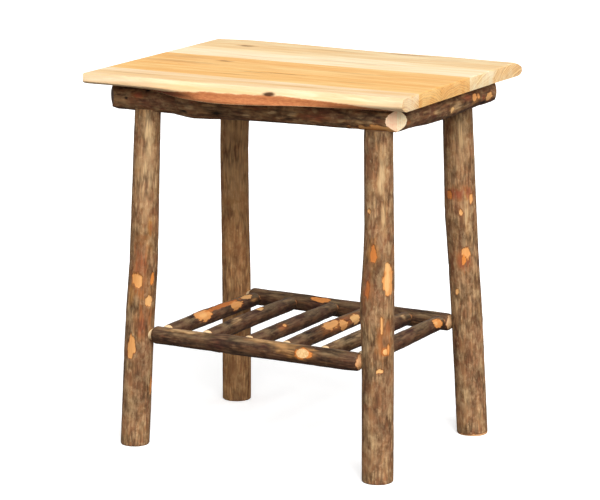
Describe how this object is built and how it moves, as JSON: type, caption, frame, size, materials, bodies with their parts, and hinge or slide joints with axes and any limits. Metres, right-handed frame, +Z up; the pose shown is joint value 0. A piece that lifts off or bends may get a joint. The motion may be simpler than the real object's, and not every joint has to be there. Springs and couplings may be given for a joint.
{
  "type": "rustic log-leg side table with slatted shelf",
  "caption": "Rustic side table: glued board top with waney front and back edges on a mitred frame and splayed bark-covered pole legs, with a low shelf of round slats.",
  "frame": {"origin": "on the floor under the middle of the top's outline", "axes": "+Z up, +X to the right along the top's length, the long waney front edge faces -Y"},
  "size_m": [0.6147, 0.505, 0.66],
  "materials": {
    "bark_pole": "hickory bark, dark brown and grey, under clear lacquer",
    "heartwood": "clear lacquered hickory heartwood, orange tan",
    "sapwood": "clear lacquered hickory sapwood, cream",
    "key_wood": "plain hardwood, unfinished"
  },
  "bodies": {
    "root": {"front_rail": "bark_pole", "back_rail": "bark_pole", "left_rail": "bark_pole", "right_rail": "bark_pole", "leg_front_left": "bark_pole", "leg_front_right": "bark_pole", "leg_back_right": "bark_pole", "leg_back_left": "bark_pole", "front_stretcher": "bark_pole", "back_stretcher": "bark_pole", "shelf_slat_1": "bark_pole", "shelf_slat_2": "bark_pole", "shelf_slat_3": "bark_pole", "shelf_slat_4": "bark_pole", "shelf_slat_5": "bark_pole", "shelf_slat_6": "bark_pole", "top_board_front_middle": "heartwood", "top_board_middle": "heartwood", "top_board_back": "heartwood", "top_board_front": "sapwood", "top_board_back_middle": "sapwood", "corner_splines": "key_wood"}
  },
  "joints": []
}
